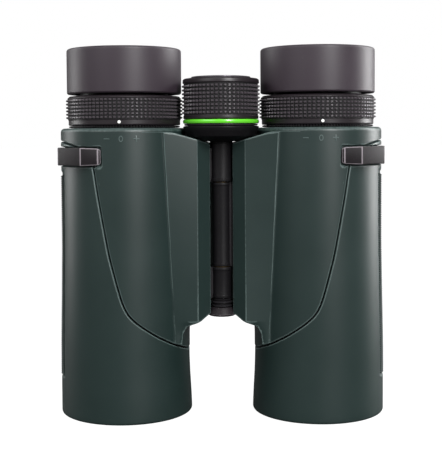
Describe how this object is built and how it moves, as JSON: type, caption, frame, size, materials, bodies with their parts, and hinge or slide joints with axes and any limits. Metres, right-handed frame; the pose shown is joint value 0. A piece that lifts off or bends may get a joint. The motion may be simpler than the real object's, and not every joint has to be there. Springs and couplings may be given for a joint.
{
  "type": "binoculars",
  "caption": "rubber-armoured roof-prism binoculars with a folding centre hinge, turning focus wheel that moves internal lenses, diopter rings and twist-up eyecups",
  "frame": {"origin": "on the plane that the objective rims stand on, under the middle of the binoculars and midway between the two optical axes", "axes": "+Z runs along the optical axes from the objectives up to the eyepieces, -Y is the side with the hinge and focus wheel (the top in use), +X is across the two barrels"},
  "size_m": [0.1262, 0.051, 0.1406],
  "materials": {
    "green_rubber": "dark green moulded rubber armour, fine matte grain",
    "black_rubber": "matt black rubber, fine grain",
    "black_metal": "black anodised metal",
    "black_plastic": "black fine-textured plastic",
    "bright_green": "bright lime green lacquer",
    "white_paint": "white paint dot",
    "steel": "machined steel",
    "brass": "machined brass",
    "glass": "coated optical glass",
    "cap_grey": "satin grey anodised aluminium"
  },
  "bodies": {
    "left_barrel": {"left_barrel_body": "black_metal", "left_bridge_armour": "green_rubber", "left_grip_armour": "green_rubber", "left_strap_lug": "black_plastic", "left_objective_cell": "black_metal", "left_objective_retainer": "black_metal", "left_objective_crown_lens": "glass", "left_objective_flint_lens": "glass", "left_prism_cage": "black_metal", "left_half_penta_prism": "glass", "left_roof_prism": "glass", "left_eyepiece_housing": "black_metal", "left_ocular_cell": "black_metal", "left_field_lens": "glass", "left_ocular_doublet": "glass", "left_eye_lens": "glass", "hinge_shaft": "steel", "hinge_end_cap": "black_plastic", "hinge_spacer": "black_metal", "hinge_washer_lower": "brass", "hinge_washer_upper": "brass", "wheel_seat": "black_metal"},
    "right_barrel": {"right_barrel_body": "black_metal", "right_bridge_armour": "green_rubber", "right_grip_armour": "green_rubber", "right_strap_lug": "black_plastic", "right_objective_cell": "black_metal", "right_objective_retainer": "black_metal", "right_objective_crown_lens": "glass", "right_objective_flint_lens": "glass", "right_prism_cage": "black_metal", "right_half_penta_prism": "glass", "right_roof_prism": "glass", "right_eyepiece_housing": "black_metal", "right_ocular_cell": "black_metal", "right_field_lens": "glass", "right_ocular_doublet": "glass", "right_eye_lens": "glass"},
    "focus_knob": {"focus_wheel": "black_rubber", "focus_wheel_ring": "bright_green", "focus_wheel_cap": "cap_grey", "focus_screw": "steel"},
    "left_focus_carriage": {"left_focus_arm": "steel", "left_focusing_lens_cell": "black_metal", "left_focusing_lens": "glass", "focus_nut": "brass"},
    "left_diopter": {"left_diopter_ring": "black_rubber", "left_index_dot": "white_paint"},
    "left_eyecup_carrier": {"left_eyecup_guide": "black_metal"},
    "left_eyecup": {"left_eyecup_sleeve": "black_plastic", "left_eyecup_rubber": "black_rubber"},
    "right_focus_carriage": {"right_focus_arm": "steel", "right_focusing_lens_cell": "black_metal", "right_focusing_lens": "glass"},
    "right_diopter": {"right_diopter_ring": "black_rubber", "right_index_dot": "white_paint"},
    "right_eyecup_carrier": {"right_eyecup_guide": "black_metal"},
    "right_eyecup": {"right_eyecup_sleeve": "black_plastic", "right_eyecup_rubber": "black_rubber"}
  },
  "joints": [
    {"name": "interpupillary_hinge", "type": "hinge", "parent": "left_barrel", "child": "right_barrel", "pos_m": [0, -0.009, 0.07], "axis": [0, 0, 1], "range_deg": [-12, 60]},
    {"name": "focus_turn", "type": "hinge", "parent": "left_barrel", "child": "focus_knob", "pos_m": [0, -0.009, 0.12], "axis": [0, 0, 1], "range_deg": [-180, 180]},
    {"name": "left_focus_travel", "type": "slide", "parent": "left_barrel", "child": "left_focus_carriage", "axis": [0, 0, 1], "range_m": [-0.00157, 0.00157]},
    {"name": "right_focus_travel", "type": "slide", "parent": "right_barrel", "child": "right_focus_carriage", "axis": [0, 0, 1], "range_m": [-0.00157, 0.00157]},
    {"name": "left_diopter_turn", "type": "hinge", "parent": "left_barrel", "child": "left_diopter", "pos_m": [-0.0375, 0, 0.117], "axis": [0, 0, 1], "range_deg": [-40, 40]},
    {"name": "right_diopter_turn", "type": "hinge", "parent": "right_barrel", "child": "right_diopter", "pos_m": [0.0375, 0, 0.117], "axis": [0, 0, 1], "range_deg": [-40, 40]},
    {"name": "left_eyecup_rise", "type": "slide", "parent": "left_barrel", "child": "left_eyecup_carrier", "axis": [0, 0, 1], "range_m": [0, 0.007]},
    {"name": "left_eyecup_twist", "type": "hinge", "parent": "left_eyecup_carrier", "child": "left_eyecup", "pos_m": [-0.0375, 0, 0.13], "axis": [0, 0, 1], "range_deg": [0, 120]},
    {"name": "right_eyecup_rise", "type": "slide", "parent": "right_barrel", "child": "right_eyecup_carrier", "axis": [0, 0, 1], "range_m": [0, 0.007]},
    {"name": "right_eyecup_twist", "type": "hinge", "parent": "right_eyecup_carrier", "child": "right_eyecup", "pos_m": [0.0375, 0, 0.13], "axis": [0, 0, 1], "range_deg": [0, 120]}
  ],
  "couplings": [
    {"joint": "focus_turn", "follows": "left_focus_travel", "rad_per_m": 2000},
    {"joint": "right_focus_travel", "follows": "left_focus_travel", "ratio": 1},
    {"joint": "left_eyecup_rise", "follows": "left_eyecup_twist", "m_per_rad": 0.003342},
    {"joint": "right_eyecup_rise", "follows": "right_eyecup_twist", "m_per_rad": 0.003342}
  ]
}
